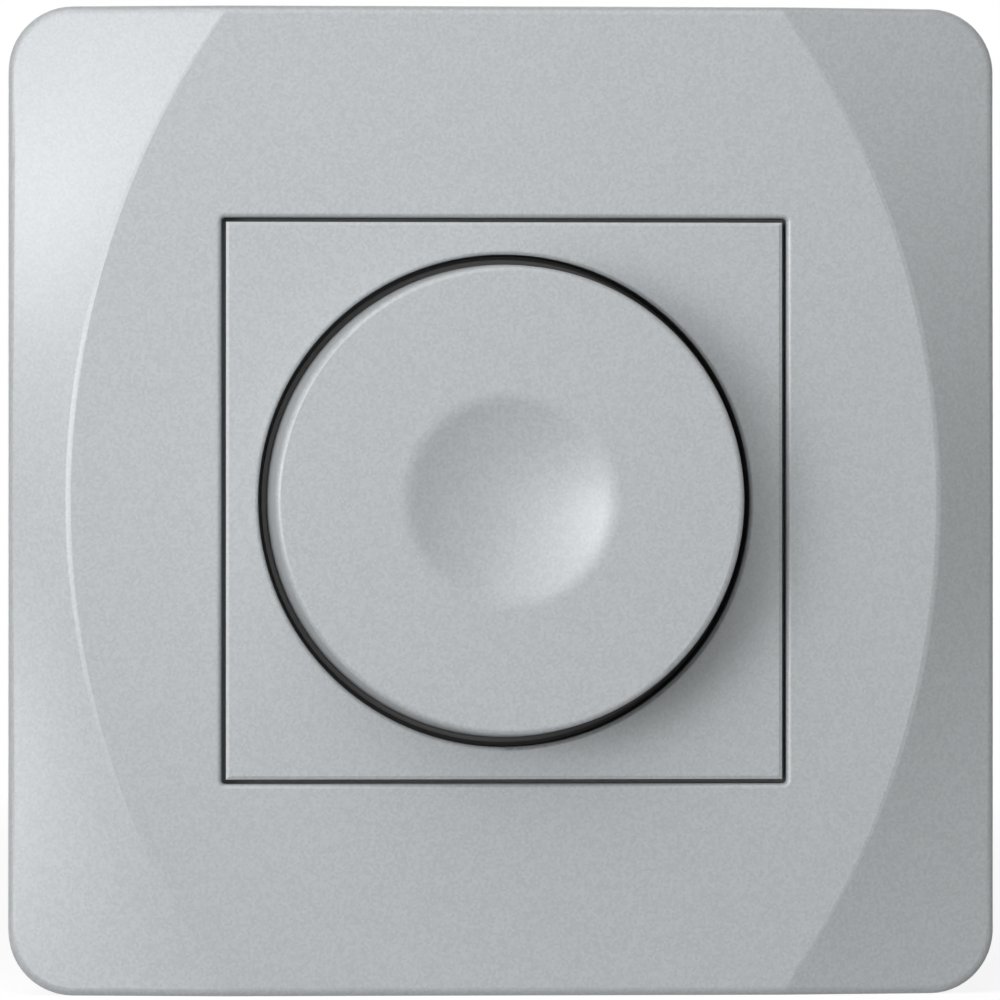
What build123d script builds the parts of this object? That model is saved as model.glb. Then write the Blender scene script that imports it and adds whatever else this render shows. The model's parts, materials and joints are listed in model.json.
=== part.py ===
from build123d import *
import os
from math import cos, hypot, radians, sin, sqrt

# Rotary push dimmer for a flush wall box. All sizes are in millimetres and all angles in degrees.
# While modelling, X runs right, Y up and Z out of the wall, with Z = 0 on the wall's surface.
# At export every piece is turned so that Z is up and the front faces -Y.

# Fits shared by several pieces
running_fit = 0.05
thread_fit = 0.05
seat_gap = 0.1
assembly_gap = 0.2
free_gap = 0.4

# Cover frame
frame_size = 80.0
frame_corner_radius = 5.2
frame_height = 9.0
frame_side_height = 6.2
frame_wall = 2.0
frame_edge_radius = 0.7
flank_width = 4.75
band_arc_radius = 68.0
band_crest_radius = 0.9
opening_corner_radius = 0.3
opening_edge_radius = 0.4
collar_wall = 1.6
ledge_thickness = 1.5
frame_rib_thickness = 1.2
frame_rib_offset = 14.0

# Centre plate
plate_land = 2.6
plate_gap = 0.35
plate_bevel_width = 0.26
plate_bevel_depth = 0.13
plate_rim = 2.8
well_radius = 19.9
well_edge_radius = 0.3
well_wall = 1.2

# Knob
knob_rise = 8.0
knob_gap = 0.35
knob_lip_height = 0.6
knob_lip_step = 0.35
knob_taper = 0.42
knob_edge_radius = 0.45
knob_wall = 1.7
knob_top_wall = 2.2
knob_hub_radius = 5.2
knob_rib_count = 6
knob_rib_thickness = 1.0
dimple_radius = 8.2
dimple_depth = 1.35
dimple_rim_radius = 4.0
clip_height = 3.0
clip_thickness = 0.6
clip_slit = 3.5

# Motion of the knob
push_travel = 1.5
turn_range = 270.0

# Nuts on the threaded bush
bush_radius = 5.0
bush_proud = 0.8
lock_washer_radius = 7.2
lock_washer_thickness = 0.5
lock_washer_teeth = 10
lock_washer_notch = 1.0
bush_nut_width = 14.0
bush_nut_thickness = 1.5
plate_nut_radius = 11.0
plate_nut_thickness = 2.0
plate_nut_notch_width = 3.0
plate_nut_notch_depth = 1.6

# Support plate
support_margin = 2.5
support_corner_radius = 4.0
support_thickness = 1.2
box_screw_spacing = 60.0
box_slot_width = 3.6
box_slot_length = 8.0

# Housing
housing_height = 50.0
housing_round_radius = 27.5
housing_wall = 1.6
housing_floor = 2.0
housing_edge_radius = 0.8
housing_screw_x = 15.0
housing_screw_y = 18.0
housing_screw_radius = 1.5
housing_screw_head_radius = 2.7
housing_screw_length = 9.0
boss_radius = 3.0
boss_length = 10.5
vent_count = 5
vent_width = 1.6
vent_pitch = 3.8
vent_length = 10.0
heat_sink_thickness = 1.5

# Potentiometer
pot_radius = 9.5
pot_wall = 0.9
pot_floor = 1.0
bush_flange_thickness = 1.5
shaft_radius = 3.0
shaft_flat = 1.6
shaft_tip_gap = 0.3
shaft_collar_radius = 4.0
shaft_collar_thickness = 1.2
drive_radius = 2.3
drive_flat = 1.5
drive_overlap = 0.3
rotor_radius = 7.0
rotor_thickness = 2.0
rotor_lug_reach = 1.0
rotor_lug_half_angle = 10.0
rotor_stop_play = 1.0
wiper_thickness = 0.3
wiper_height = 0.9
wiper_ring_inner = 3.3
wiper_ring_outer = 4.8
wiper_reach = 6.6
wiper_finger_width = 1.6
wiper_pad_length = 1.4
track_thickness = 0.8
track_hole_radius = 3.3
pot_pin_pitch = 2.5
pot_pin_width = 1.2
pot_pin_thickness = 0.5
pot_pin_overlap = 4.0

# Push switch
switch_size = 14.0
switch_depth = 7.6
switch_wall = 1.0
plunger_flange_radius = 4.0
plunger_flange_thickness = 1.0
plunger_stem_radius = 1.4
spring_wire_radius = 0.25
spring_wire_sides = 6
spring_play = 0.3
spring_turns = 4.5
bridge_thickness = 0.4
bridge_half_length = 5.6
bridge_width = 2.4
contact_leg_thickness = 0.6
contact_pad_length = 1.6
contact_pad_thickness = 0.5

# Circuit board
board_thickness = 1.6
board_standoff = 2.0
post_radius = 2.0
post_x = 14.0
post_upper_y = 17.0
post_lower_y = -5.0

# Terminals
terminal_count = 3
terminal_pitch = 10.5
wire_radius = 1.9
wire_mouth_radius = 2.4
cage_width = 7.6
cage_depth = 9.0
cage_wall = 1.8
cage_thread_wall = 2.4
pocket_wall = 0.8
tail_width = 3.0
tail_thickness = 0.6
terminal_screw_radius = 1.5
terminal_screw_length = 5.0
terminal_head_radius = 2.1
terminal_head_height = 1.6
terminal_head_recess = 1.0
terminal_slot_width = 0.7
terminal_slot_depth = 0.8

# Spreading claws
claw_side_gap = 4.0
claw_screw_radius = 1.5
claw_head_radius = 2.8
claw_head_height = 1.6
claw_head_gap = 0.8
claw_slot_width = 0.8
claw_slot_depth = 0.9
claw_thickness = 1.2
claw_bend_radius = 0.3
claw_width = 8.0
claw_length = 19.0
claw_tab_gap = 0.9
claw_tab_inset = 2.4
claw_tooth_height = 0.8
claw_tooth_length = 3.0
claw_tooth_width = 2.4
claw_screw_tail = 3.0
claw_opening_play = 0.9
ramp_height = 1.6
ramp_width = 6.0
ramp_start = 6.0
ramp_end = 15.0

# Parts on the circuit board
triac_pot_gap = 0.6
triac_wall_gap = 0.3
triac_width = 10.0
triac_body_length = 9.0
triac_body_thickness = 4.4
triac_tab_length = 6.3
triac_tab_thickness = 1.3
triac_hole_radius = 1.8
triac_lead_pitch = 2.54
triac_lead_width = 0.8
triac_lead_thickness = 0.5
triac_lead_reach = 1.8
triac_pad_thickness = 0.2
triac_pad_margin = 0.1
triac_screw_radius = 1.5
triac_screw_head_radius = 2.7
triac_screw_head_height = 1.8
choke_wall_gap = 0.65
choke_y = 1.0
choke_outer_radius = 6.7
choke_inner_radius = 3.4
choke_width = 6.0
choke_turns = 14
choke_wire = 0.7
film_capacitor_wall_gap = 0.9
film_capacitor_y = 2.5
film_capacitor_width = 7.0
film_capacitor_length = 13.0
film_capacitor_height = 10.0
film_capacitor_corner_radius = 0.8
timing_capacitor_width = 3.2
timing_capacitor_length = 7.0
timing_capacitor_height = 6.4
diac_radius = 0.9
diac_length = 4.0
resistor_pitch = 8.4
resistor_count = 3
resistor_radius = 1.2
resistor_length = 5.2
lead_radius = 0.3
lead_reach = 0.9
lead_foot = 0.8
fuse_wall_gap = 0.8
fuse_length = 20.0
fuse_tube_radius = 2.3
fuse_bore_radius = 1.8
fuse_cap_length = 5.0
fuse_cap_thickness = 0.3
fuse_height = 4.2
fuse_clip_thickness = 0.4
fuse_clip_width = 4.0

# Heights above the wall, front to back
plate_front = frame_height
knob_top = plate_front + knob_rise
ledge_front = plate_front - plate_rim
ledge_back = ledge_front - ledge_thickness
lock_washer_front = support_thickness + lock_washer_thickness
bush_nut_front = lock_washer_front + bush_nut_thickness
well_floor_front = bush_nut_front + assembly_gap
plate_nut_front = well_floor_front + plate_nut_thickness
bush_front = plate_nut_front + bush_proud
knob_base = well_floor_front + push_travel + free_gap
knob_lip_front = knob_base + knob_lip_height
knob_hub_end = bush_front + push_travel + free_gap
knob_ceiling = knob_top - knob_top_wall
knob_centre_ceiling = knob_ceiling - dimple_depth
bore_top = knob_centre_ceiling + seat_gap
shaft_tip = bore_top - shaft_tip_gap
heat_sink_back = -heat_sink_thickness
bush_flange_back = heat_sink_back - bush_flange_thickness
shaft_collar_front = bush_flange_back - seat_gap
shaft_collar_back = shaft_collar_front - shaft_collar_thickness
rotor_front = shaft_collar_back - push_travel - assembly_gap
rotor_back = rotor_front - rotor_thickness
track_front = rotor_back - wiper_height - seat_gap
track_back = track_front - track_thickness
pot_back = track_back - pot_floor
shaft_end = track_back - drive_overlap
plunger_flange_front = pot_back - seat_gap
plunger_flange_back = plunger_flange_front - plunger_flange_thickness
board_front = pot_back - switch_depth
switch_cavity_back = board_front + switch_wall
plunger_stem_end = switch_cavity_back + push_travel + free_gap
contact_front = plunger_flange_back - bridge_thickness - push_travel - seat_gap
board_back = board_front - board_thickness
floor_front = board_back - board_standoff
housing_back = floor_front - housing_floor
cage_front = floor_front + cage_depth

# Places and sizes that follow from the fits
band_half_width = frame_size / 2 - flank_width
support_size = frame_size - 2 * (frame_wall + support_margin)
plate_size = 2 * (well_radius + plate_land)
knob_lip_radius = well_radius - knob_gap
knob_skirt_radius = knob_lip_radius - knob_lip_step
knob_top_radius = knob_skirt_radius - knob_taper
opening_size = plate_size + 2 * plate_gap
cup_radius = well_radius + well_wall
ledge_hole_radius = cup_radius + free_gap
collar_size = opening_size + 2 * collar_wall
bush_hole_radius = bush_radius + seat_gap
bush_nut_reach = bush_nut_width / sqrt(3)
nut_hole_radius = bush_nut_reach + free_gap
spring_radius = plunger_stem_radius + spring_play + spring_wire_radius
triac_x = pot_radius + triac_pot_gap + triac_width / 2
housing_inner_x = triac_x + triac_width / 2 + triac_wall_gap
housing_inner_y = housing_height / 2 - housing_wall
housing_inner_round = housing_round_radius - housing_wall
housing_width = 2 * (housing_inner_x + housing_wall)
terminal_head_end = terminal_head_recess - housing_height / 2
terminal_head_seat = terminal_head_end + terminal_head_height
terminal_screw_tip = terminal_head_seat + terminal_screw_length
wire_y = terminal_screw_tip + seat_gap + wire_radius
cage_bottom = wire_y - wire_radius - cage_thread_wall
cage_top = wire_y + wire_radius + cage_wall
block_top = cage_top + seat_gap + pocket_wall
tail_y = block_top + free_gap
board_bottom = block_top + assembly_gap
claw_screw_x = max(housing_width / 2 + claw_side_gap, cup_radius + claw_head_radius + free_gap)
claw_tab_front = -claw_tab_gap
claw_back = claw_tab_front - claw_length
claw_leg_inner = claw_screw_x + claw_screw_radius + assembly_gap + claw_bend_radius
claw_leg_outer = claw_leg_inner + claw_thickness
claw_outer_bend = claw_bend_radius + claw_thickness
claw_tooth_start = claw_back + claw_outer_bend + assembly_gap
claw_head_seat = support_thickness + claw_head_gap
triac_pad_back = heat_sink_back - triac_pad_thickness
triac_tab_back = triac_pad_back - triac_tab_thickness
triac_body_back = triac_pad_back - triac_body_thickness
triac_body_end = -triac_body_length / 2
triac_tab_end = triac_body_length / 2 + triac_tab_length
triac_hole_y = triac_body_length / 2 + triac_tab_length / 2
triac_pad_length = triac_body_length + triac_tab_length
choke_half_width = choke_width / 2 + running_fit + choke_wire
choke_x = choke_wall_gap + choke_half_width - housing_inner_x
choke_z = board_front + choke_outer_radius + choke_wire
film_capacitor_x = housing_inner_x - film_capacitor_wall_gap - film_capacitor_width / 2
timing_capacitor_x = (choke_x + choke_half_width - switch_size / 2) / 2
diac_x = (switch_size / 2 + film_capacitor_x - film_capacitor_width / 2) / 2
resistor_y = pot_radius + running_fit + pot_pin_thickness + free_gap + resistor_radius
fuse_cap_radius = fuse_tube_radius + fuse_cap_thickness
fuse_clip_inner = fuse_cap_radius + running_fit
fuse_clip_outer = fuse_clip_inner + fuse_clip_thickness
fuse_ceiling = min(housing_inner_y, sqrt(housing_inner_round**2 - (fuse_length / 2) ** 2))
fuse_y = fuse_ceiling - fuse_wall_gap - fuse_clip_outer
fuse_z = board_front + fuse_height


def block(width, height, low, high, x=0.0, y=0.0):
    """A box between two heights above the wall, centred on a point of the wall."""
    middle = (low + high) / 2
    return Pos(x, y, middle) * Box(width, height, high - low)


def disc(radius, low, high, x=0.0, y=0.0):
    """A round piece on an axis square to the wall."""
    middle = (low + high) / 2
    return Pos(x, y, middle) * Cylinder(radius, high - low)


def slab(outline, low, high):
    """An outline drawn on the wall, raised between two heights."""
    return extrude(Pos(0, 0, low) * outline, high - low)


def turned(points):
    """A solid turned about the knob's axis from points given as radius and height."""
    return revolve(Plane.XZ * make_face(Polyline(*points, close=True)), Axis.Z)


def rod_x(radius, left, right, y, z):
    """A round bar along X."""
    middle = (left + right) / 2
    return Pos(middle, y, z) * Rot(0, 90, 0) * Cylinder(radius, right - left)


def rod_y(radius, bottom, top, x, z):
    """A round bar along Y."""
    middle = (bottom + top) / 2
    return Pos(x, middle, z) * Rot(90, 0, 0) * Cylinder(radius, top - bottom)


def d_outline(radius, flat):
    """A circle with its upper side cut flat."""
    return Circle(radius) & Pos(0, flat - radius) * Rectangle(2 * radius, 2 * radius)


def sector(inner, outer, angle, half_angle):
    """A piece of a ring, centred on an angle."""
    reach = 2 * outer
    corners = [(0, 0)]
    for side in (angle - half_angle, angle + half_angle):
        corners.append((reach * cos(radians(side)), reach * sin(radians(side))))
    return (Circle(outer) - Circle(inner)) & make_face(Polyline(*corners, close=True))


def housing_outline(inset):
    """The housing's outline, or one that stays inside it by the inset."""
    flats = Rectangle(housing_width - 2 * inset, housing_height - 2 * inset)
    return flats & Circle(housing_round_radius - inset)


def housing_screw_places():
    return [(x, y) for x in (-housing_screw_x, housing_screw_x) for y in (-housing_screw_y, housing_screw_y)]


def terminal_places():
    return [(i - (terminal_count - 1) / 2) * terminal_pitch for i in range(terminal_count)]


# Cover frame


def crowned_block(size, corner, side_height, height, half_width, arc_radius):
    """A square block whose front is a flat band with two curved crests and straight flanks."""
    half = size / 2
    band_end = half_width - arc_radius + sqrt(arc_radius**2 - half**2)
    square = make_face(Polyline((-half, -half), (half, -half), (half, half), (-half, half), close=True))
    band = make_face(
        [
            Line((-band_end, -half), (band_end, -half)),
            ThreePointArc((band_end, -half), (half_width, 0), (band_end, half)),
            Line((band_end, half), (-band_end, half)),
            ThreePointArc((-band_end, half), (-half_width, 0), (-band_end, -half)),
        ]
    )
    crown = loft([Pos(0, 0, side_height) * square, Pos(0, 0, height) * band], ruled=True)
    whole = slab(square, 0, side_height) + crown
    return whole & slab(RectangleRounded(size, size, corner), 0, height)


def is_front_rim(edge, side_height):
    """True for the edges at which an upright outer face meets the front."""
    return edge.bounding_box().min.Z > side_height / 2


def cover_frame():
    outer = crowned_block(
        frame_size, frame_corner_radius, frame_side_height, frame_height, band_half_width, band_arc_radius
    )
    crests = outer.edges().filter_by(GeomType.CIRCLE).group_by(Axis.Z)[-1]
    outer = fillet(crests, band_crest_radius)
    upright = [f for f in outer.faces() if abs(f.normal_at(f.center()).Z) < 0.001]
    rim = [e for f in upright for e in f.edges() if is_front_rim(e, frame_side_height)]
    outer = fillet(rim, frame_edge_radius)

    slope = (frame_height - frame_side_height) / (frame_size / 2 - band_half_width)
    drop = frame_wall * hypot(1, slope)
    inset = (drop - frame_wall) / slope
    cavity = crowned_block(
        frame_size - 2 * frame_wall,
        frame_corner_radius - frame_wall,
        frame_side_height + slope * frame_wall - drop,
        frame_height - frame_wall,
        band_half_width - inset,
        band_arc_radius - inset,
    )
    collar = slab(Rectangle(collar_size, collar_size), ledge_back, frame_height)
    shell = outer - cavity + collar
    rib_end = band_half_width - inset
    rib_length = rib_end - collar_size / 2
    rib_middle = (rib_end + collar_size / 2) / 2
    rib_front = frame_height - frame_wall / 2
    for side in (-rib_middle, rib_middle):
        for offset in (-frame_rib_offset, frame_rib_offset):
            shell += block(rib_length, frame_rib_thickness, ledge_back, rib_front, side, offset)
            shell += block(frame_rib_thickness, rib_length, ledge_back, rib_front, offset, side)
    opening = RectangleRounded(opening_size, opening_size, opening_corner_radius)
    shell -= slab(opening, ledge_front, frame_height)
    shell -= disc(ledge_hole_radius, 0, frame_height)
    front = shell.faces().sort_by(Axis.Z)[-1]
    return fillet(front.inner_wires()[0].edges(), opening_edge_radius)


# Centre plate


def centre_plate():
    plate = block(plate_size, plate_size, ledge_front, plate_front)
    plate += disc(cup_radius, support_thickness, ledge_front)
    plate -= disc(well_radius, well_floor_front, plate_front)
    plate -= disc(nut_hole_radius, support_thickness, well_floor_front)
    front = plate.faces().sort_by(Axis.Z)[-1]
    plate = fillet(front.inner_wires()[0].edges(), well_edge_radius)
    front = plate.faces().sort_by(Axis.Z)[-1]
    return chamfer(front.outer_wire().edges(), plate_bevel_width, plate_bevel_depth, reference=front)


# Knob and its spring clip


def rotary_knob():
    knob = turned(
        [
            (0, knob_base),
            (knob_lip_radius, knob_base),
            (knob_lip_radius, knob_lip_front),
            (knob_skirt_radius, knob_lip_front),
            (knob_top_radius, knob_top),
            (0, knob_top),
        ]
    )
    bowl_radius = (dimple_radius**2 + dimple_depth**2) / (2 * dimple_depth)
    knob -= Pos(0, 0, knob_top - dimple_depth + bowl_radius) * Sphere(bowl_radius)
    top_edges = knob.edges().filter_by(GeomType.CIRCLE).group_by(Axis.Z)[-1].sort_by(SortBy.RADIUS)
    knob = fillet(top_edges[0], dimple_rim_radius)
    top_edges = knob.edges().filter_by(GeomType.CIRCLE).group_by(Axis.Z)[-1].sort_by(SortBy.RADIUS)
    knob = fillet(top_edges[-1], knob_edge_radius)
    inner_top = knob_top_radius - knob_wall
    inner_base = knob_skirt_radius - knob_wall
    step_radius = dimple_radius + knob_wall
    knob -= turned(
        [
            (0, knob_base),
            (inner_base, knob_base),
            (inner_top, knob_ceiling),
            (step_radius, knob_ceiling),
            (step_radius, knob_centre_ceiling),
            (knob_hub_radius, knob_centre_ceiling),
            (knob_hub_radius, knob_hub_end),
            (0, knob_hub_end),
        ]
    )
    rib_low = knob_hub_end + clip_height + 2 * assembly_gap
    rib_start = knob_hub_radius - knob_wall / 2
    rib_end = inner_top + knob_wall / 2
    rib = block(rib_end - rib_start, knob_rib_thickness, rib_low, knob_ceiling, (rib_start + rib_end) / 2)
    for i in range(knob_rib_count):
        knob += Rot(0, 0, 360 * i / knob_rib_count) * rib
    bore = d_outline(shaft_radius + running_fit, shaft_flat + running_fit)
    return knob - slab(bore, knob_hub_end, bore_top)


def knob_spring_clip():
    low = knob_hub_end + assembly_gap
    inner = knob_hub_radius + running_fit
    ring = disc(inner + clip_thickness, low, low + clip_height) - disc(inner, low, low + clip_height)
    return ring - block(clip_slit, 2 * knob_hub_radius, low, low + clip_height, 0, knob_hub_radius)


# Nuts on the threaded bush


def plate_nut():
    nut = disc(plate_nut_radius, well_floor_front, plate_nut_front)
    nut -= disc(bush_radius + thread_fit, well_floor_front, plate_nut_front)
    for side in (-1, 1):
        nut -= block(
            2 * plate_nut_notch_depth,
            plate_nut_notch_width,
            well_floor_front,
            plate_nut_front,
            side * plate_nut_radius,
        )
    return nut


def bush_nut():
    hexagon = RegularPolygon(bush_nut_width / 2, 6, major_radius=False)
    return slab(hexagon - Circle(bush_radius + thread_fit), lock_washer_front, bush_nut_front)


def lock_washer():
    ring = Circle(lock_washer_radius) - Circle(bush_hole_radius)
    notch = Pos(lock_washer_radius, 0) * Circle(lock_washer_notch)
    for i in range(lock_washer_teeth):
        ring -= Rot(0, 0, 360 * i / lock_washer_teeth) * notch
    return slab(ring, support_thickness, lock_washer_front)


# Support plate, housing and heat sink


def support_plate():
    plate = slab(RectangleRounded(support_size, support_size, support_corner_radius), 0, support_thickness)
    plate -= disc(bush_hole_radius, 0, support_thickness)
    for side in (-1, 1):
        box_slot = Rot(0, 0, 90) * SlotOverall(box_slot_length, box_slot_width)
        plate -= slab(Pos(0, side * box_screw_spacing / 2) * box_slot, 0, support_thickness)
        claw_slot_half = claw_screw_radius + claw_opening_play
        claw_slot = SlotOverall(2 * claw_slot_half, 2 * claw_screw_radius + claw_opening_play)
        plate -= slab(Pos(side * claw_screw_x, 0) * claw_slot, 0, support_thickness)
    for x, y in housing_screw_places():
        cone = Cone(
            housing_screw_radius + seat_gap, housing_screw_head_radius + seat_gap, support_thickness
        )
        plate -= Pos(x, y, support_thickness / 2) * cone
    return plate


def housing_screws():
    screws = []
    for x, y in housing_screw_places():
        head = Cone(housing_screw_radius, housing_screw_head_radius, support_thickness)
        screw = Pos(x, y, support_thickness / 2) * head
        screw += disc(housing_screw_radius, -housing_screw_length, 0, x, y)
        cross_low = support_thickness / 2
        cross = block(terminal_slot_width, 2 * housing_screw_radius, cross_low, support_thickness, x, y)
        cross += block(2 * housing_screw_radius, terminal_slot_width, cross_low, support_thickness, x, y)
        screws.append(screw - cross)
    return screws


def heat_sink():
    plate = slab(housing_outline(housing_wall + assembly_gap), heat_sink_back, 0)
    plate -= disc(bush_hole_radius, heat_sink_back, 0)
    plate -= disc(triac_screw_radius + thread_fit, heat_sink_back, 0, triac_x, triac_hole_y)
    for x, y in housing_screw_places():
        plate -= disc(housing_screw_radius + seat_gap, heat_sink_back, 0, x, y)
    return plate


def claw_ramp(side):
    """A wedge on the housing's side on which a claw's foot climbs."""
    wall = housing_width / 2
    points = [
        (side * (wall - housing_wall / 2), -ramp_start),
        (side * (wall + ramp_height), -ramp_start),
        (side * wall, -ramp_end),
        (side * (wall - housing_wall / 2), -ramp_end),
    ]
    face = make_face(Polyline(*points, close=True))
    return extrude(Plane.XZ * face, ramp_width / 2, both=True)


def housing():
    box = slab(housing_outline(0), housing_back, 0)
    box = fillet(box.edges().group_by(Axis.Z)[0], housing_edge_radius)
    inside = housing_outline(housing_wall)
    box -= slab(inside, floor_front, 0)
    fill_height = housing_height / 2 + block_top
    bay = inside & Pos(0, block_top - fill_height / 2) * Rectangle(housing_width, fill_height)
    box += slab(bay, floor_front, cage_front)
    for x, y in housing_screw_places():
        boss = disc(boss_radius, heat_sink_back - boss_length, heat_sink_back, x, y)
        box += boss & slab(housing_outline(housing_wall / 2), housing_back, 0)
        box -= disc(
            housing_screw_radius + thread_fit, -housing_screw_length - free_gap, heat_sink_back, x, y
        )
    for x in (-post_x, post_x):
        for y in (post_lower_y, post_upper_y):
            box += disc(post_radius, floor_front, board_back, x, y)
    pocket_y = (cage_bottom + cage_top) / 2
    pocket_height = cage_top - cage_bottom + 2 * seat_gap
    for x in terminal_places():
        box -= block(cage_width + 2 * seat_gap, pocket_height, floor_front, cage_front, x, pocket_y)
        box -= disc(wire_mouth_radius, housing_back, floor_front, x, wire_y)
        channel_z = (floor_front + cage_front) / 2
        box -= rod_y(terminal_head_radius + assembly_gap, -housing_height, cage_bottom, x, channel_z)
    for side in (-1, 1):
        box += claw_ramp(side)
    for i in range(vent_count):
        x = (i - (vent_count - 1) / 2) * vent_pitch
        vent = SlotOverall(vent_length, vent_width)
        box -= slab(Pos(x, vent_length / 2) * Rot(0, 0, 90) * vent, housing_back, floor_front)
        top_vent = Plane.XZ.offset(-housing_height / 2) * Pos(x, (floor_front + heat_sink_back) / 2)
        box -= extrude(top_vent * Rot(0, 0, 90) * vent, housing_wall)
    return box


# Potentiometer


def pot_bush():
    bush = disc(bush_radius, bush_flange_back, bush_front)
    bush += disc(pot_radius, bush_flange_back, heat_sink_back)
    return bush - disc(shaft_radius + running_fit, bush_flange_back, bush_front)


def pot_case():
    inner = pot_radius - pot_wall
    case = disc(pot_radius, pot_back, bush_flange_back) - disc(inner, track_back, bush_flange_back)
    case -= disc(drive_radius + assembly_gap, pot_back, track_back)
    stop_half_angle = 180 - turn_range / 2 - rotor_lug_half_angle - rotor_stop_play
    stop = sector(rotor_radius + assembly_gap, inner + pot_wall / 2, -90, stop_half_angle)
    return case + slab(stop, rotor_back, bush_flange_back)


def pot_rotor():
    lug_angle = turn_range / 2 - 270
    lug_inner = rotor_radius - rotor_lug_reach
    lug_outer = rotor_radius + rotor_lug_reach
    outline = Circle(rotor_radius) + sector(lug_inner, lug_outer, lug_angle, rotor_lug_half_angle)
    outline -= d_outline(drive_radius + running_fit, drive_flat + running_fit)
    return slab(outline, rotor_back, rotor_front)


def pot_wiper():
    finger_start = (wiper_ring_inner + wiper_ring_outer) / 2
    finger_length = wiper_reach - finger_start
    outline = Circle(wiper_ring_outer) - Circle(wiper_ring_inner)
    outline += Pos(0, finger_start + finger_length / 2) * Rectangle(wiper_finger_width, finger_length)
    wiper = slab(outline, rotor_back - wiper_thickness, rotor_back)
    pad_y = wiper_reach - wiper_pad_length / 2
    pad_low = rotor_back - wiper_height
    return wiper + block(wiper_finger_width, wiper_pad_length, pad_low, rotor_back, 0, pad_y)


def pot_track():
    ring = Circle(pot_radius - pot_wall - seat_gap) - Circle(track_hole_radius)
    return slab(ring, track_back, track_front)


def pot_pins():
    y = pot_radius + running_fit + pot_pin_thickness / 2
    top = pot_back + pot_pin_overlap
    return [
        block(pot_pin_width, pot_pin_thickness, board_front, top, x, y)
        for x in (-pot_pin_pitch, 0, pot_pin_pitch)
    ]


def pot_shaft():
    shaft = slab(d_outline(shaft_radius, shaft_flat), knob_hub_end, shaft_tip)
    shaft += disc(shaft_radius, shaft_collar_front, knob_hub_end)
    shaft += disc(shaft_collar_radius, shaft_collar_back, shaft_collar_front)
    return shaft + slab(d_outline(drive_radius, drive_flat), shaft_end, shaft_collar_back)


# Push switch


def switch_case():
    inside = switch_size - 2 * switch_wall
    case = block(switch_size, switch_size, board_front, pot_back)
    return case - block(inside, inside, switch_cavity_back, pot_back)


def switch_plunger():
    plunger = disc(drive_radius, plunger_flange_front, shaft_end)
    plunger += disc(plunger_flange_radius, plunger_flange_back, plunger_flange_front)
    return plunger + disc(plunger_stem_radius, plunger_stem_end, plunger_flange_back)


def switch_bridge():
    arm = Rectangle(2 * bridge_half_length, bridge_width)
    ring = Circle(plunger_flange_radius) + arm - Circle(spring_radius + spring_wire_radius + assembly_gap)
    return slab(ring, plunger_flange_back - bridge_thickness, plunger_flange_back)


def switch_contacts():
    contacts = []
    for side in (-1, 1):
        leg_x = side * (bridge_half_length - contact_leg_thickness / 2)
        pad_x = side * (bridge_half_length - contact_pad_length / 2)
        contact = block(contact_leg_thickness, bridge_width, switch_cavity_back, contact_front, leg_x)
        contact += block(
            contact_pad_length, bridge_width, contact_front - contact_pad_thickness, contact_front, pad_x
        )
        contacts.append(contact)
    return contacts


def switch_spring():
    height = plunger_flange_back - switch_cavity_back - 2 * spring_wire_radius
    path = Helix(height / spring_turns, height, spring_radius)
    section = RegularPolygon(spring_wire_radius, spring_wire_sides)
    wire = Plane(path @ 0, z_dir=path % 0) * section
    return Pos(0, 0, switch_cavity_back + spring_wire_radius) * sweep(wire, path, is_frenet=True)


# Circuit board and the parts on it


def circuit_board():
    top = housing_height / 2
    room = Pos(0, (board_bottom + top) / 2) * Rectangle(housing_width, top - board_bottom)
    return slab(housing_outline(housing_wall + assembly_gap) & room, board_back, board_front)


def triac():
    tab_middle = (triac_tab_end + triac_body_end) / 2
    tab_length = triac_tab_end - triac_body_end
    part = block(triac_width, triac_body_length, triac_body_back, triac_pad_back, triac_x)
    part += block(triac_width, tab_length, triac_tab_back, triac_pad_back, triac_x, tab_middle)
    part -= disc(triac_hole_radius, triac_tab_back, triac_pad_back, triac_x, triac_hole_y)
    lead_front = (triac_body_back + triac_pad_back) / 2
    lead_end = triac_body_end - triac_lead_reach
    for i in (-1, 0, 1):
        x = triac_x + i * triac_lead_pitch
        part += block(
            triac_lead_width,
            triac_lead_reach,
            lead_front - triac_lead_thickness,
            lead_front,
            x,
            (triac_body_end + lead_end) / 2,
        )
        part += block(
            triac_lead_width,
            triac_lead_thickness,
            board_front,
            lead_front,
            x,
            lead_end + triac_lead_thickness / 2,
        )
    return part


def triac_pad():
    width = triac_width + 2 * triac_pad_margin
    length = triac_pad_length + 2 * triac_pad_margin
    pad = block(width, length, triac_pad_back, heat_sink_back, triac_x, triac_tab_length / 2)
    return pad - disc(triac_screw_radius + seat_gap, triac_pad_back, heat_sink_back, triac_x, triac_hole_y)


def triac_screw():
    screw = disc(triac_screw_radius, triac_tab_back, 0, triac_x, triac_hole_y)
    head_back = triac_tab_back - triac_screw_head_height
    return screw + disc(triac_screw_head_radius, head_back, triac_tab_back, triac_x, triac_hole_y)


def choke_core():
    left = choke_x - choke_width / 2
    right = choke_x + choke_width / 2
    core = rod_x(choke_outer_radius, left, right, choke_y, choke_z)
    return core - rod_x(choke_inner_radius, left, right, choke_y, choke_z)


def choke_winding():
    core_width = choke_width + 2 * running_fit
    core_depth = choke_outer_radius - choke_inner_radius + 2 * running_fit
    turn = Box(core_width + 2 * choke_wire, choke_wire, core_depth + 2 * choke_wire)
    turn -= Box(core_width, choke_wire, core_depth)
    middle = (choke_outer_radius + choke_inner_radius) / 2
    centre = Pos(choke_x, choke_y, choke_z)
    return [
        centre * Rot(360 * (i + 0.5) / choke_turns, 0, 0) * Pos(0, 0, middle) * turn
        for i in range(choke_turns)
    ]


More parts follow.
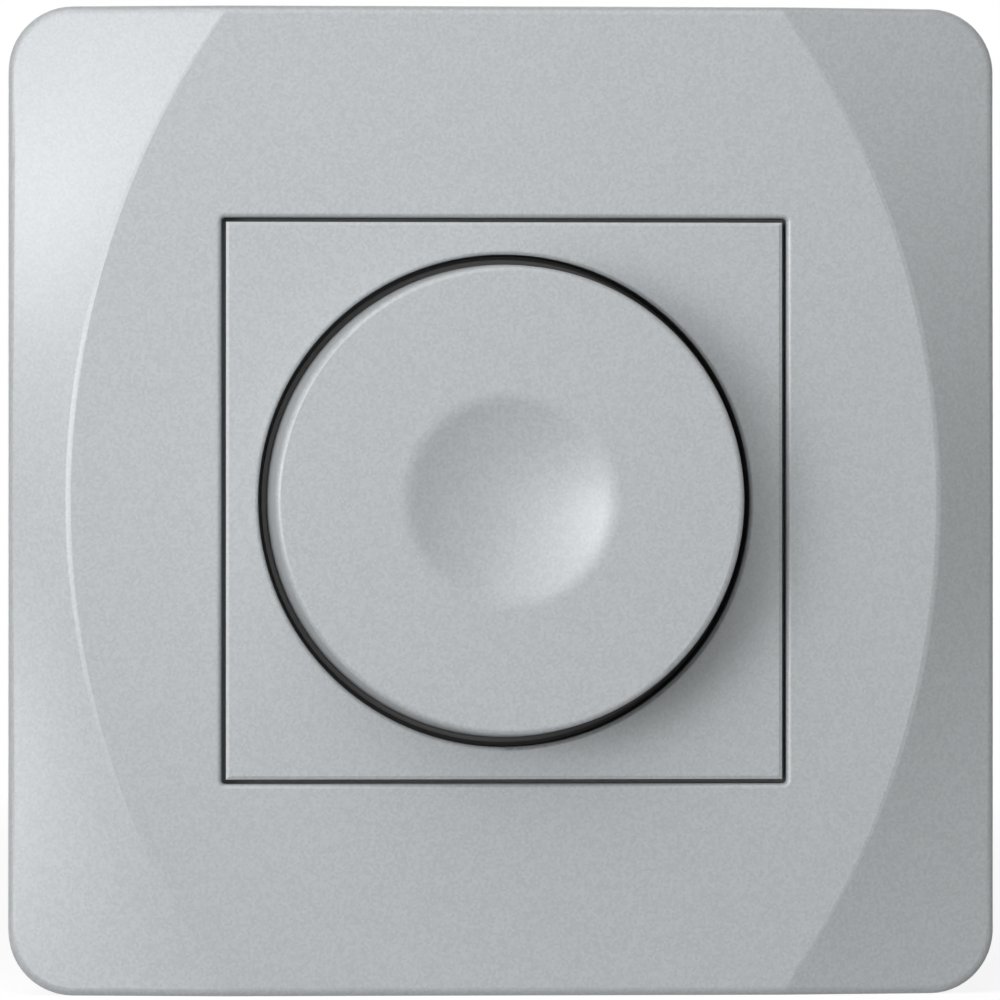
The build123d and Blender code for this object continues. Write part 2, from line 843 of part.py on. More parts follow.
def film_capacitor():
    outline = RectangleRounded(film_capacitor_width, film_capacitor_length, film_capacitor_corner_radius)
    place = Pos(film_capacitor_x, film_capacitor_y)
    return slab(place * outline, board_front, board_front + film_capacitor_height)


def timing_capacitor():
    outline = SlotOverall(timing_capacitor_length, timing_capacitor_width)
    place = Pos(timing_capacitor_x, 0) * Rot(0, 0, 90)
    return slab(place * outline, board_front, board_front + timing_capacitor_height)


def diac():
    z = board_front + diac_radius
    half = diac_length / 2
    part = rod_y(diac_radius, -half, half, diac_x, z)
    part += rod_y(lead_radius, -half - lead_reach, half + lead_reach, diac_x, z)
    for end in (-half - lead_reach, half + lead_reach):
        part += block(lead_foot, lead_foot, board_front, z + lead_foot / 2, diac_x, end)
    return part


def resistors():
    parts = []
    z = board_front + resistor_radius
    half = resistor_length / 2
    for i in range(resistor_count):
        x = (i - (resistor_count - 1) / 2) * resistor_pitch
        part = rod_x(resistor_radius, x - half, x + half, resistor_y, z)
        part += rod_x(lead_radius, x - half - lead_reach, x + half + lead_reach, resistor_y, z)
        for end in (x - half - lead_reach, x + half + lead_reach):
            part += block(lead_foot, lead_foot, board_front, z + lead_foot / 2, end, resistor_y)
        parts.append(part)
    return parts


def fuse_tube():
    half = fuse_length / 2 - fuse_cap_thickness
    tube = rod_x(fuse_tube_radius, -half, half, fuse_y, fuse_z)
    return tube - rod_x(fuse_bore_radius, -half, half, fuse_y, fuse_z)


def fuse_caps():
    caps = []
    half = fuse_length / 2
    for side in (-1, 1):
        outer_end = side * half
        inner_end = side * (half - fuse_cap_length)
        wall_end = side * (half - fuse_cap_thickness)
        cap = rod_x(fuse_cap_radius, min(outer_end, inner_end), max(outer_end, inner_end), fuse_y, fuse_z)
        bore = rod_x(fuse_tube_radius, min(wall_end, inner_end), max(wall_end, inner_end), fuse_y, fuse_z)
        caps.append(cap - bore)
    return caps


def fuse_clips():
    clips = []
    for side in (-1, 1):
        x = side * (fuse_length - fuse_cap_length) / 2
        left = x - fuse_clip_width / 2
        right = x + fuse_clip_width / 2
        clip = rod_x(fuse_clip_outer, left, right, fuse_y, fuse_z)
        clip += block(fuse_clip_width, 2 * fuse_clip_inner, board_front, fuse_z, x, fuse_y)
        clip -= rod_x(fuse_clip_inner, left, right, fuse_y, fuse_z)
        mouth_top = fuse_z + fuse_clip_outer
        mouth = block(fuse_clip_width, fuse_tube_radius * 2, fuse_z, mouth_top, x, fuse_y)
        clips.append(clip - mouth)
    return clips


# Terminals


def terminal_cages():
    cages = []
    middle_y = (cage_bottom + cage_top) / 2
    middle_z = (floor_front + cage_front) / 2
    for x in terminal_places():
        cage = block(cage_width, cage_top - cage_bottom, floor_front, cage_front, x, middle_y)
        cage -= disc(wire_radius, floor_front, cage_front, x, wire_y)
        cage -= rod_y(terminal_screw_radius + thread_fit, cage_bottom, wire_y, x, middle_z)
        tail_start = cage_top - cage_wall
        tail_end = tail_y + tail_thickness
        tail_front = cage_front + tail_thickness
        tail_middle = (tail_start + tail_end) / 2
        cage += block(tail_width, tail_end - tail_start, cage_front, tail_front, x, tail_middle)
        cage += block(
            tail_width, tail_thickness, board_front, tail_front, x, tail_y + tail_thickness / 2
        )
        cages.append(cage)
    return cages


def terminal_screws():
    screws = []
    z = (floor_front + cage_front) / 2
    for x in terminal_places():
        screw = rod_y(terminal_screw_radius, terminal_head_seat, terminal_screw_tip, x, z)
        screw += rod_y(terminal_head_radius, terminal_head_end, terminal_head_seat, x, z)
        slot_y = terminal_head_end + terminal_slot_depth / 2
        screw -= Pos(x, slot_y, z) * Box(2 * terminal_head_radius, terminal_slot_depth, terminal_slot_width)
        screws.append(screw)
    return screws


# Spreading claws


def claw(side):
    half = claw_width / 2
    inner_end = claw_screw_x - claw_tab_inset
    points = [
        (inner_end, claw_tab_front),
        (claw_leg_outer, claw_tab_front),
        (claw_leg_outer, claw_back),
        (inner_end, claw_back),
        (inner_end, claw_back + claw_thickness),
        (claw_leg_inner, claw_back + claw_thickness),
        (claw_leg_inner, claw_tab_front - claw_thickness),
        (inner_end, claw_tab_front - claw_thickness),
    ]
    profile = make_face(Polyline(*[(side * x, z) for x, z in points], close=True))
    outer_bends = profile.vertices().filter_by(lambda v: abs(abs(v.X) - claw_leg_outer) < seat_gap)
    profile = fillet(outer_bends, claw_outer_bend)
    inner_bends = profile.vertices().filter_by(lambda v: abs(abs(v.X) - claw_leg_inner) < seat_gap)
    profile = fillet(inner_bends, claw_bend_radius)
    part = extrude(Plane.XZ * profile, half, both=True)
    tooth_points = [
        (claw_leg_outer, claw_tooth_start),
        (claw_leg_outer + claw_tooth_height, claw_tooth_start + claw_tooth_length / 3),
        (claw_leg_outer, claw_tooth_start + claw_tooth_length),
    ]
    tooth_face = make_face(Polyline(*[(side * x, z) for x, z in tooth_points], close=True))
    for y in (claw_tooth_width / 2 - half, half - claw_tooth_width / 2):
        part += Pos(0, y, 0) * extrude(Plane.XZ * tooth_face, claw_tooth_width / 2, both=True)
    x = side * claw_screw_x
    part -= disc(claw_screw_radius + seat_gap, claw_tab_front - claw_thickness, claw_tab_front, x)
    return part - disc(claw_screw_radius + thread_fit, claw_back, claw_back + claw_thickness, x)


def claw_screw(side):
    x = side * claw_screw_x
    head_front = claw_head_seat + claw_head_height
    screw = disc(claw_head_radius, claw_head_seat, head_front, x)
    screw += disc(claw_screw_radius, claw_back - claw_screw_tail, claw_head_seat, x)
    return screw - block(2 * claw_head_radius, claw_slot_width, head_front - claw_slot_depth, head_front, x)


def claw_left():
    return claw(-1)


def claw_right():
    return claw(1)


def claw_screw_left():
    return claw_screw(-1)


def claw_screw_right():
    return claw_screw(1)


# Every piece, written out in the upright pose

pieces = [
    cover_frame,
    centre_plate,
    rotary_knob,
    knob_spring_clip,
    pot_shaft,
    plate_nut,
    bush_nut,
    lock_washer,
    support_plate,
    housing,
    housing_screws,
    heat_sink,
    pot_bush,
    pot_case,
    pot_rotor,
    pot_wiper,
    pot_track,
    pot_pins,
    switch_case,
    switch_plunger,
    switch_bridge,
    switch_contacts,
    switch_spring,
    circuit_board,
    triac,
    triac_pad,
    triac_screw,
    choke_core,
    choke_winding,
    film_capacitor,
    timing_capacitor,
    diac,
    resistors,
    fuse_tube,
    fuse_caps,
    fuse_clips,
    terminal_cages,
    terminal_screws,
    claw_left,
    claw_right,
    claw_screw_left,
    claw_screw_right,
]

os.makedirs("parts", exist_ok=True)
upright = Rot(90, 0, 0)
for piece in pieces:
    shape = piece()
    if isinstance(shape, list):
        shape = Compound([solid for one in shape for solid in one.solids()])
    name = piece.__name__
    export_step(upright * shape, f"parts/{name}.step")
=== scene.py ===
import json
import math

import bmesh
import bpy
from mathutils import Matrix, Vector


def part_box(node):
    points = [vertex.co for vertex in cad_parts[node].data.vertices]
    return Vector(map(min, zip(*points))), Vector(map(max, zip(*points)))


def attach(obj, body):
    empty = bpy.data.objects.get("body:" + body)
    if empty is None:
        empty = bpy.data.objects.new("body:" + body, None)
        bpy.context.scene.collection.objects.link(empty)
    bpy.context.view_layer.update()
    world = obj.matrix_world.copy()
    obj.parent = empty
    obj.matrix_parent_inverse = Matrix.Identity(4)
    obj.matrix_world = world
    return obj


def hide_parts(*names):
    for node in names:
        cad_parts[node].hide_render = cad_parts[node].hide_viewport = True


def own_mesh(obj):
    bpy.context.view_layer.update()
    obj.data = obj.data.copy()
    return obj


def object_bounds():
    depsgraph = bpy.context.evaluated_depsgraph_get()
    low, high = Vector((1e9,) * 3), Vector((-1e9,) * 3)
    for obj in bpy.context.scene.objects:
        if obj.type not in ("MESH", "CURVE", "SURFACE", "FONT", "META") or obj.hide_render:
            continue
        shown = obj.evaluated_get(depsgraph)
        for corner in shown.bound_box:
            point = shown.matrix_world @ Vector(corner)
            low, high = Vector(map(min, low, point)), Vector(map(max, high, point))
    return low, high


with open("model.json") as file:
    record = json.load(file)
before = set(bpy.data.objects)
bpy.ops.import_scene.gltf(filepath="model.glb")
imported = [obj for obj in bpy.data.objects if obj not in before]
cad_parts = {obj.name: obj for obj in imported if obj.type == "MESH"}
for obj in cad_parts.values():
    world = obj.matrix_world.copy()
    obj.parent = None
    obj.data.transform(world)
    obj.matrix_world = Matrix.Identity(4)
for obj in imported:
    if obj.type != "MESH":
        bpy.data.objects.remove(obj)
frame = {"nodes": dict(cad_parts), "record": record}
cad_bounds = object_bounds()

# Camera, in metres and degrees
camera_azimuth = -3.3
camera_elevation = -0.3
camera_distance = 0.75
camera_target = Vector((-0.00034, -0.0085, 0.00006))
camera_reach = 10.0
image_pixels = 1000
pixels_per_metre = 12370
sensor_width = 36.0

# Background, floor and the light that comes from all round
white = (1.0, 1.0, 1.0, 1.0)
ambient_strength = 0.02
background_strength = 1.0
floor_half = 0.6
floor_lift = 0.85
floor_roughness = 0.9
floor_cloud = 8.0
floor_dark = (0.28, 0.28, 0.28)
floor_light = (0.32, 0.32, 0.32)

# Silver lacquer
lacquer_colour = (0.472, 0.493, 0.506)
lacquer_metallic = 0.18
lacquer_roughness = 0.45
lacquer_specular = 0.25
lacquer_coat = 0.3
lacquer_coat_roughness = 0.22

# Flakes in the lacquer
flake_scale = 4500.0
flake_range = (0.2, 0.8)
flake_colour_change = 0.06
flake_roughness_change = 0.02
flake_bump_scale = 1.5 * flake_scale
flake_bump_depth = 0.000001

# Painted shade in the gaps: a dark colour for the bare plastic where the lacquer stops, set dark enough
# to stand for the shade there; from and to a depth below the front, and its share
bare_plastic_gap_shade_colour = (0.065, 0.065, 0.065)
# Painted shade on the knob's lip deep in the well: a dark grey, a little lighter than the other gaps
lip_gap_shade_colour = (0.12, 0.12, 0.12)
front_depth = 0.009
plate_gap_shade_depths = (0.0004, 0.001, 1.0)
knob_gap_shade_depths = (0.0018, 0.0026, 1.0)
frame_gap_shade_depths = (0.0003, 0.0008, 0.6)
opening_gap_shade_reach = (0.0232, 0.0236)

# Middle of the knob's dimple, a part of a sphere: its distances from the axis and its places along it
bowl_radius = 0.02558
bowl_middle = (0.001, 0.002)
bowl_front = (-0.0153, -0.0148)

# Changes over the other materials
noise_range = (0.3, 0.7)
even_stretch = (1.0, 1.0, 1.0)
rolled_stretch = (0.05, 1.0, 1.0)
metal_colour_change = 0.07
metal_roughness_change = (-0.06, 0.08)
metal_cloud_size = 8
metal_depth = 0.000003
plastic_roughness_change = (-0.05, 0.06)
plastic_cloud_size = 40
plastic_depth = 0.000008

# Glass
glass_colour = (0.92, 0.95, 0.95, 1.0)
glass_cloud = 200.0
glass_roughness = (0.02, 0.06)
glass_ior = 1.5

# Push switch's spring
spring_wire = 0.00025
spring_turns = 4.5
spring_steps = 32
spring_closing = 0.08
wire_rounding = 2

# Claw screws
screw_seat = -0.002
screw_crest = 0.0015
screw_root = 0.00122
screw_pitch = 0.0005
screw_steps = 20
screw_head = 0.0028
screw_head_round = 0.0004
screw_slot_width = 0.0008
screw_slot_depth = 0.0009
screw_slot_length = 4 * screw_head
merge_distance = 1e-7

# Sockets of Blender's mix node: the two that it runs between, and its result
mix_sockets = {"VECTOR": (4, 5, 1), "RGBA": (6, 7, 2)}


# Node helpers


def material(name):
    """A new node material and its main shader."""
    made = bpy.data.materials.new(name)
    made.use_nodes = True
    return made, made.node_tree.nodes["Principled BSDF"]


def add(made, kind, **values):
    """A node of a kind, with some of its inputs set by name."""
    node = made.node_tree.nodes.new(kind)
    for name, value in values.items():
        node.inputs[name.replace("_", " ")].default_value = value
    return node


def join(made, output, socket):
    """A link between two nodes."""
    made.node_tree.links.new(output, socket)


def noise(made, scale, detail=2.0, stretch=even_stretch):
    """Noise fixed to the piece, stretched along the axes where a value is below one."""
    place = add(made, "ShaderNodeTexCoord")
    mapping = add(made, "ShaderNodeMapping", Scale=stretch)
    pattern = add(made, "ShaderNodeTexNoise", Scale=scale, Detail=detail)
    join(made, place.outputs["Object"], mapping.inputs["Vector"])
    join(made, mapping.outputs["Vector"], pattern.inputs["Vector"])
    return pattern.outputs["Fac"]


def flakes(made, scale):
    """A random value for each small cell of the surface."""
    place = add(made, "ShaderNodeTexCoord")
    cells = add(made, "ShaderNodeTexVoronoi", Scale=scale)
    join(made, place.outputs["Object"], cells.inputs["Vector"])
    return cells.outputs["Color"]


def calculate(made, operation, *values):
    """The result of an operation on one or two sockets or numbers."""
    node = add(made, "ShaderNodeMath")
    node.operation = operation
    for place, value in enumerate(values):
        if isinstance(value, float):
            node.inputs[place].default_value = value
        else:
            join(made, value, node.inputs[place])
    return node.outputs["Value"]


def ramp(made, value, near, far, start, end):
    """A number that runs from start to end while a value goes from near to far."""
    scale = add(made, "ShaderNodeMapRange", From_Min=near, From_Max=far, To_Min=start, To_Max=end)
    join(made, value, scale.inputs["Value"])
    return scale.outputs["Result"]


def mixed(made, kind, factor, start, end):
    """A colour or vector that runs with the factor from a socket to another socket or a fixed value."""
    first, second, result = mix_sockets[kind]
    mix = add(made, "ShaderNodeMix")
    mix.data_type = kind
    join(made, factor, mix.inputs["Factor"])
    join(made, start, mix.inputs[first])
    if isinstance(end, tuple):
        mix.inputs[second].default_value = end
    else:
        join(made, end, mix.inputs[second])
    return mix.outputs[result]


def places(made):
    """The place on the piece, as three sockets."""
    place = add(made, "ShaderNodeTexCoord")
    axes = add(made, "ShaderNodeSeparateXYZ")
    join(made, place.outputs["Object"], axes.inputs["Vector"])
    return axes.outputs["X"], axes.outputs["Y"], axes.outputs["Z"]


def between(made, factor, low, high, reach=noise_range):
    """A colour that runs from low to high as the factor goes through its reach."""
    band = add(made, "ShaderNodeValToRGB")
    for element, position, colour in zip(band.color_ramp.elements, reach, (low, high)):
        element.position = position
        element.color = (*colour, 1.0)
    join(made, factor, band.inputs["Fac"])
    return band.outputs["Color"]


def spread(made, factor, low, high):
    """A number that runs from low to high as the factor rises."""
    return ramp(made, factor, *noise_range, low, high)


def relief(made, shader, height, depth):
    """A bump of a depth in metres on a shader."""
    bump = add(made, "ShaderNodeBump", Distance=depth)
    join(made, height, bump.inputs["Height"])
    join(made, bump.outputs["Normal"], shader.inputs["Normal"])


def shades(colour, change):
    """A darker and a lighter form of a colour."""
    low = tuple(c * (1 - change) for c in colour)
    high = tuple(min(1.0, c * (1 + change)) for c in colour)
    return low, high


# Materials


def silver_lacquer(name):
    """A clear-coated lacquer with fine metal flakes, and its shader."""
    made, shader = material(name)
    grain = flakes(made, flake_scale)
    low, high = shades(lacquer_colour, flake_colour_change)
    join(made, between(made, grain, low, high, flake_range), shader.inputs["Base Color"])
    shader.inputs["Metallic"].default_value = lacquer_metallic
    shader.inputs["Specular IOR Level"].default_value = lacquer_specular
    shader.inputs["Coat Weight"].default_value = lacquer_coat
    shader.inputs["Coat Roughness"].default_value = lacquer_coat_roughness
    smooth = lacquer_roughness - flake_roughness_change
    rough = lacquer_roughness + flake_roughness_change
    join(made, spread(made, grain, smooth, rough), shader.inputs["Roughness"])
    relief(made, shader, noise(made, flake_bump_scale, detail=1.0), flake_bump_depth)
    return made, shader


def lacquer_with_gap_shade(name, shade_depths, colour, opening=None):
    """The lacquer, turning to a dark bare-plastic colour painted as shade where a piece stands back in
    a gap.
    """
    made, shader = silver_lacquer(name)
    across, along, up = places(made)
    start, end, share = shade_depths
    # Painted shade: the dark colour comes in with depth below the front, where shade falls in the gaps
    bare = ramp(made, along, start - front_depth, end - front_depth, 0.0, share)
    if opening:
        sideways = calculate(made, "ABSOLUTE", across)
        upwards = calculate(made, "ABSOLUTE", up)
        far_out = calculate(made, "MAXIMUM", sideways, upwards)
        bare = calculate(made, "MULTIPLY", bare, ramp(made, far_out, *opening, 1.0, 0.0))
    painted = shader.inputs["Base Color"].links[0].from_socket
    # Painted shade: the lacquer's colour runs to the dark colour and its metal goes, deeper in the gaps
    join(made, mixed(made, "RGBA", bare, painted, (*colour, 1.0)), shader.inputs["Base Color"])
    join(made, ramp(made, bare, 0.0, 1.0, lacquer_metallic, 0.0), shader.inputs["Metallic"])
    return made


def bowl_slope(made):
    """The direction in which the dimple's sphere faces."""
    place = add(made, "ShaderNodeTexCoord")
    slope = add(made, "ShaderNodeMapping")
    slope.inputs["Location"].default_value = (0.0, -1.0, 0.0)
    slope.inputs["Scale"].default_value = (-1 / bowl_radius, 0.0, -1 / bowl_radius)
    turned = add(made, "ShaderNodeVectorTransform")
    turned.vector_type = "NORMAL"
    turned.convert_from = "OBJECT"
    turned.convert_to = "WORLD"
    join(made, place.outputs["Object"], slope.inputs["Vector"])
    join(made, slope.outputs["Vector"], turned.inputs["Vector"])
    return turned.outputs["Vector"]


def smooth_bowl(made):
    """Takes the sphere's own slope in the middle of the dimple, where the solid's mesh has a seam."""
    across, along, up = places(made)
    across_squared = calculate(made, "MULTIPLY", across, across)
    up_squared = calculate(made, "MULTIPLY", up, up)
    off_axis = calculate(made, "SQRT", calculate(made, "ADD", across_squared, up_squared))
    near = ramp(made, off_axis, *bowl_middle, 1.0, 0.0)
    front = ramp(made, along, *bowl_front, 1.0, 0.0)
    share = calculate(made, "MULTIPLY", near, front)
    meshed = add(made, "ShaderNodeNewGeometry").outputs["Normal"]
    bump = made.node_tree.nodes["Bump"]
    join(made, mixed(made, "VECTOR", share, meshed, bowl_slope(made)), bump.inputs["Normal"])


def metal(name, colour, roughness, stretch=even_stretch, scale=900.0):
    """A bare or plated metal with fine marks and a cloudy gloss."""
    made, shader = material(name)
    marks = noise(made, scale, detail=3.0, stretch=stretch)
    low, high = shades(colour, metal_colour_change)
    join(made, between(made, marks, low, high), shader.inputs["Base Color"])
    shader.inputs["Metallic"].default_value = 1.0
    cloud = noise(made, scale / metal_cloud_size)
    smooth, rough = (roughness + shift for shift in metal_roughness_change)
    join(made, spread(made, cloud, smooth, rough), shader.inputs["Roughness"])
    relief(made, shader, marks, metal_depth)
    return made


def plastic(name, colour, roughness, change=0.08, scale=1800.0):
    """A moulded plastic, resin or ceramic with a fine grain and a cloudy colour."""
    made, shader = material(name)
    cloud = noise(made, scale / plastic_cloud_size, detail=3.0)
    low, high = shades(colour, change)
    join(made, between(made, cloud, low, high), shader.inputs["Base Color"])
    grain = noise(made, scale)
    smooth, rough = (roughness + shift for shift in plastic_roughness_change)
    join(made, spread(made, grain, smooth, rough), shader.inputs["Roughness"])
    relief(made, shader, grain, plastic_depth)
    return made


def glass(name):
    """A clear glass with an uneven polish."""
    made, shader = material(name)
    cloud = noise(made, glass_cloud, detail=1.0)
    join(made, spread(made, cloud, *glass_roughness), shader.inputs["Roughness"])
    shader.inputs["Base Color"].default_value = glass_colour
    shader.inputs["Transmission Weight"].default_value = 1.0
    shader.inputs["IOR"].default_value = glass_ior
    return made


def slot_materials():
    """One material for each slot of the record."""
    return {
        "silver_lacquer": silver_lacquer("silver_lacquer_flake")[0],
        "zinc_steel": metal("zinc_plate", (0.62, 0.63, 0.65), 0.34, scale=500.0),
        "spring_steel": metal("spring_steel_wire", (0.45, 0.45, 0.46), 0.3),
        "housing_plastic": plastic("housing_moulding", (0.045, 0.046, 0.05), 0.5),
        "aluminium_sheet": metal("aluminium_mill", (0.76, 0.77, 0.78), 0.38, stretch=rolled_stretch),
        "nickel_brass": metal("nickel_plate", (0.66, 0.62, 0.54), 0.28),
        "brass": metal("stamped_brass", (0.78, 0.57, 0.27), 0.32),
        "copper_wire": metal("enamelled_copper", (0.72, 0.33, 0.17), 0.3),
        "black_plastic": plastic("black_moulding", (0.025, 0.025, 0.027), 0.45),
        "ivory_plastic": plastic("natural_moulding", (0.75, 0.72, 0.62), 0.45),
        "board_laminate": plastic("board_resin", (0.36, 0.27, 0.12), 0.5, scale=900.0),
        "track_laminate": plastic("carbon_track", (0.1, 0.085, 0.07), 0.6),
        "pad_silicone": plastic("pad_sheet", (0.6, 0.6, 0.58), 0.7),
        "ferrite": plastic("iron_powder", (0.07, 0.07, 0.075), 0.55, change=0.2),
        "capacitor_case": plastic("yellow_case", (0.62, 0.48, 0.07), 0.35),
        "capacitor_dip": plastic("dipped_resin", (0.42, 0.09, 0.05), 0.25),
        "resistor_body": plastic("lacquered_ceramic", (0.52, 0.38, 0.22), 0.35),
        "diac_body": plastic("lacquered_glass", (0.08, 0.14, 0.34), 0.25),
        "fuse_glass": glass("clear_glass"),
    }


def dress_nodes(ready):
    """Gives every CAD node the material of its slot, and the front's pieces one of their own with
    painted shade in their gaps.
    """
    subparts = frame["record"]["subparts"]
    finish = {subpart["node"]: ready[subpart["material_slot"]] for subpart in subparts}
    # The plate, knob and frame: lacquer with painted shade where they stand back in a gap
    finish["centre_plate"] = lacquer_with_gap_shade("silver_lacquer_plate_gap_shade", plate_gap_shade_depths, bare_plastic_gap_shade_colour)
    finish["rotary_knob"] = lacquer_with_gap_shade("silver_lacquer_knob_gap_shade", knob_gap_shade_depths, lip_gap_shade_colour)
    smooth_bowl(finish["rotary_knob"])
    finish["cover_frame"] = lacquer_with_gap_shade(
        "silver_lacquer_frame_gap_shade", frame_gap_shade_depths, bare_plastic_gap_shade_colour, opening_gap_shade_reach
    )
    for name, chosen in finish.items():
        node = frame["nodes"][name]
        node.data.materials.clear()
        node.data.materials.append(chosen)


# Pieces


def new_object(name, data):
    """An object in the scene."""
    made = bpy.data.objects.new(name, data)
    bpy.context.scene.collection.objects.link(made)
    return made


def applied(holder):
    """A mesh of an object with its curve settings or modifiers applied."""
    state = bpy.context.evaluated_depsgraph_get()
    return bpy.data.meshes.new_from_object(holder.evaluated_get(state))


def around(middle, radius, angle, height):
    """A place round an axis along Y."""
    return (middle.x + radius * math.cos(angle), height, middle.z + radius * math.sin(angle))


def finished(name, mesh, body, slot, ready, *replaced):
    """A piece with its material, which rides on a body and stands for some CAD nodes."""
    piece = new_object(name, mesh)
    mesh.materials.clear()
    mesh.materials.append(ready[slot])
    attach(piece, body)
    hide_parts(*replaced)
    return piece


def wire_mesh(name, points, radius):
    """A round wire along a row of points."""
    line = bpy.data.curves.new(name, "CURVE")
    line.dimensions = "3D"
    line.bevel_depth = radius
    line.bevel_resolution = wire_rounding
    line.use_fill_caps = True
    spline = line.splines.new("POLY")
    spline.points.add(len(points) - 1)
    for point, place in zip(spline.points, points):
        point.co = (*place, 1.0)
    holder = new_object(name + "_line", line)
    mesh = applied(holder)
    bpy.data.objects.remove(holder)
    bpy.data.curves.remove(line)
    for face in mesh.polygons:
        face.use_smooth = True
    return mesh


def spring(ready):
    """The push switch's spring, with its end turns closed, pressed together by the plunger."""
    low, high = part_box("switch_spring")
    middle = (low + high) / 2
    radius = (high.x - low.x) / 2 - spring_wire
    length = high.y - low.y - 2 * spring_wire
    count = int(spring_turns * spring_steps)
    points = []
    for step in range(count + 1):
        share = step / count
        angle = 2 * math.pi * spring_turns * share
        rise = share - spring_closing * math.sin(2 * math.pi * share)
        points.append(around(middle, radius, angle, low.y + spring_wire + length * rise))
    mesh = wire_mesh("spring_coil", points, spring_wire)
    piece = finished("spring_coil", mesh, "base", "spring_steel", ready, "switch_spring")
    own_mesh(piece)


def add_thread(build, middle, start, end):
    """A pointed thread along Y, closed at both ends."""
    turns = int((end - start) / screw_pitch) - 1
    last = 2 * turns
    rows = []
    for step in range(screw_steps):
        angle = 2 * math.pi * step / screw_steps
        row = []
        for level in range(last + 1):
            radius = screw_crest if level % 2 else screw_root
            height = start + screw_pitch * (level / 2 + step / screw_steps)
            row.append(build.verts.new(around(middle, radius, angle, height)))
        rows.append(row)
    for step in range(screw_steps):
        wraps = step == screw_steps - 1
        here = rows[step]
        there = rows[0][2:] if wraps else rows[step + 1]
        for level in range(len(there) - 1):
            build.faces.new((here[level], there[level], there[level + 1], here[level + 1]))
    bmesh.ops.holes_fill(build, edges=[edge for edge in build.edges if edge.is_boundary])


def add_head(build, middle, top):
    """A cheese head, turned about Y."""
    profile = [
        (0.0, top),
        (screw_head - screw_head_round, top),
        (screw_head, top + screw_head_round),
        (screw_head, screw_seat),
        (0.0, screw_seat),
    ]
    corners = [build.verts.new((middle.x + out, height, middle.z)) for out, height in profile]
    edges = [build.edges.new(pair) for pair in zip(corners, corners[1:])]
    bmesh.ops.spin(
        build,
        geom=corners + edges,
        axis=(0, 1, 0),
        cent=middle,
        angle=2 * math.pi,
        steps=2 * screw_steps,
        use_merge=True,
    )
    bmesh.ops.remove_doubles(build, verts=build.verts, dist=merge_distance)


def mesh_of(build, name):
    """The mesh of a finished build, with its faces turned outwards."""
    bmesh.ops.recalc_face_normals(build, faces=build.faces)
    mesh = bpy.data.meshes.new(name)
    build.to_mesh(mesh)
    build.free()
    return mesh


def slotted(mesh, middle, top):
    """A head's mesh with a screwdriver slot cut across it."""
    build = bmesh.new()
    bmesh.ops.create_cube(build, size=1.0)
    size = (screw_slot_width, 2 * screw_slot_depth, screw_slot_length)
    bmesh.ops.scale(build, vec=size, verts=build.verts)
    bmesh.ops.translate(build, vec=(middle.x, top, middle.z), verts=build.verts)
    cutter = new_object("slot_cutter", mesh_of(build, "slot_cutter"))
    head = new_object("slotted_head", mesh)
    cut = head.modifiers.new("slot", "BOOLEAN")
    cut.operation = "DIFFERENCE"
    cut.object = cutter
    result = applied(head)
    for holder in (cutter, head):
        bpy.data.objects.remove(holder)
    return result


def claw_screw(side, ready):
    """A slotted screw with a cut thread, in the place of its CAD node."""
    node = "claw_screw_" + side
    low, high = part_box(node)
    middle = (low + high) / 2
    build = bmesh.new()
    add_head(build, middle, low.y)
    head = slotted(mesh_of(build, node + "_head"), middle, low.y)
    build = bmesh.new()
    add_thread(build, middle, screw_seat - screw_head_round, high.y)
    build.from_mesh(head)
    mesh = mesh_of(build, node + "_threaded")
    finished(node + "_threaded", mesh, "claw_" + side, "zinc_steel", ready, node)


# Stage


def sees_background(made):
    """One for rays from the camera, off a shiny surface or through glass, and zero for all others."""
    path = add(made, "ShaderNodeLightPath")
    seen = calculate(made, "MAXIMUM", path.outputs["Is Camera Ray"], path.outputs["Is Glossy Ray"])
    return calculate(made, "MAXIMUM", seen, path.outputs["Is Transmission Ray"])


def floor():
    """A pale floor that shows nearly white, keeps the object's shadow and stops no lamp."""
    made, shader = material("floor_paper")
    shader.inputs["Roughness"].default_value = floor_roughness
    shader.inputs["Specular IOR Level"].default_value = 0.0
    cloud = noise(made, floor_cloud)
    join(made, between(made, cloud, floor_dark, floor_light), shader.inputs["Base Color"])
    shader.inputs["Emission Color"].default_value = white
    lift = calculate(made, "MULTIPLY", sees_background(made), floor_lift)
    join(made, lift, shader.inputs["Emission Strength"])
    level = cad_bounds[0].z
    corners = [
        (-floor_half, -floor_half, level),
        (floor_half, -floor_half, level),
        (floor_half, floor_half, level),
        (-floor_half, floor_half, level),
    ]
    mesh = bpy.data.meshes.new("floor")
    mesh.from_pydata(corners, [], [(0, 1, 2, 3)])
    mesh.materials.append(made)
    piece = new_object("floor", mesh)
    piece.visible_shadow = False


def aimed(name, data, place, direction):
    """A lamp or camera at a place, turned in a direction."""
    holder = new_object(name, data)
    holder.location = place
    holder.rotation_mode = "QUATERNION"
    holder.rotation_quaternion = direction.to_track_quat("-Z", "Y")
    return holder


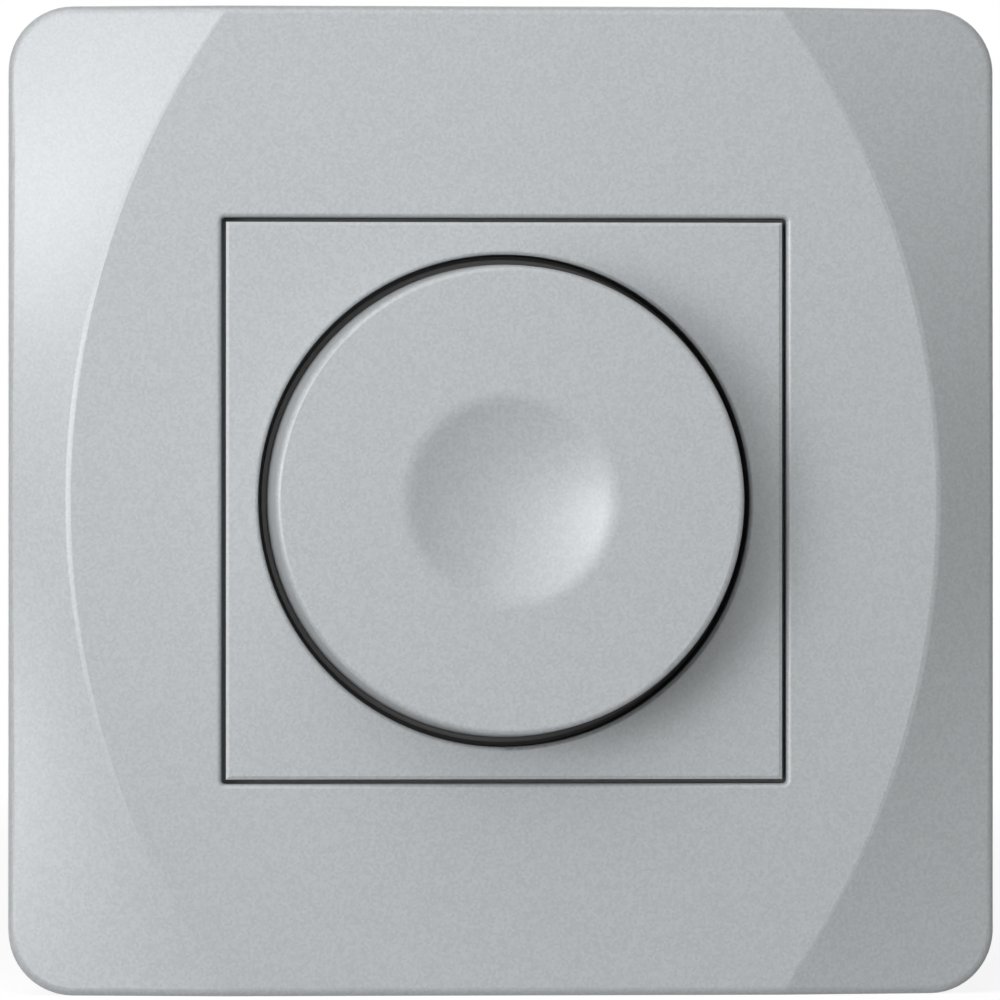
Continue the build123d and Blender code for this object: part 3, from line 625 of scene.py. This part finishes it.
def softbox(name, bearing, off_axis, distance, size, power):
    """A square lamp; its bearing is counted from the right as seen from the front."""
    turn = math.radians(bearing)
    lean = math.radians(off_axis)
    out = math.sin(lean)
    towards = Vector((out * math.cos(turn), -math.cos(lean), out * math.sin(turn)))
    lamp = bpy.data.lights.new(name, "AREA")
    lamp.shape = "SQUARE"
    lamp.size = size
    lamp.energy = power
    holder = aimed(name, lamp, towards * distance, -towards)
    holder.visible_camera = False


def surroundings():
    """A white background that lights the object only a little."""
    world = bpy.data.worlds.new("studio")
    world.use_nodes = True
    bpy.context.scene.world = world
    nodes = world.node_tree.nodes
    ambient = nodes["Background"]
    ambient.inputs["Color"].default_value = white
    ambient.inputs["Strength"].default_value = ambient_strength
    backdrop = add(world, "ShaderNodeBackground", Color=white, Strength=background_strength)
    mix = add(world, "ShaderNodeMixShader")
    join(world, sees_background(world), mix.inputs["Fac"])
    join(world, ambient.outputs["Background"], mix.inputs[1])
    join(world, backdrop.outputs["Background"], mix.inputs[2])
    join(world, mix.outputs["Shader"], nodes["World Output"].inputs["Surface"])


def camera():
    """The photograph's view."""
    azimuth = math.radians(camera_azimuth)
    elevation = math.radians(camera_elevation)
    level = math.cos(elevation)
    back = Vector((math.sin(azimuth) * level, -math.cos(azimuth) * level, math.sin(elevation)))
    lens = bpy.data.cameras.new("camera")
    lens.sensor_width = sensor_width
    lens.lens = pixels_per_metre * camera_distance * sensor_width / image_pixels
    lens.clip_end = camera_reach
    holder = aimed("camera", lens, camera_target + back * camera_distance, -back)
    bpy.context.scene.camera = holder


ready = slot_materials()
dress_nodes(ready)
spring(ready)
for side in ("left", "right"):
    claw_screw(side, ready)
floor()
softbox("key", bearing=165, off_axis=30, distance=0.5, size=0.2, power=0.36)
softbox("low_key", bearing=178, off_axis=38, distance=0.8, size=0.3, power=1.2)
softbox("left", bearing=184, off_axis=52, distance=0.8, size=0.4, power=0.8)
softbox("lower_left", bearing=205, off_axis=48, distance=0.8, size=0.4, power=0.42)
softbox("front_left", bearing=180, off_axis=20, distance=0.9, size=0.6, power=1.55)
softbox("front", bearing=0, off_axis=0, distance=1.1, size=1.0, power=0.15)
softbox("top", bearing=110, off_axis=48, distance=0.4, size=0.4, power=0.76)
softbox("rear", bearing=60, off_axis=160, distance=0.9, size=0.8, power=3.0)
surroundings()
camera()
bpy.context.scene.view_settings.view_transform = "Standard"
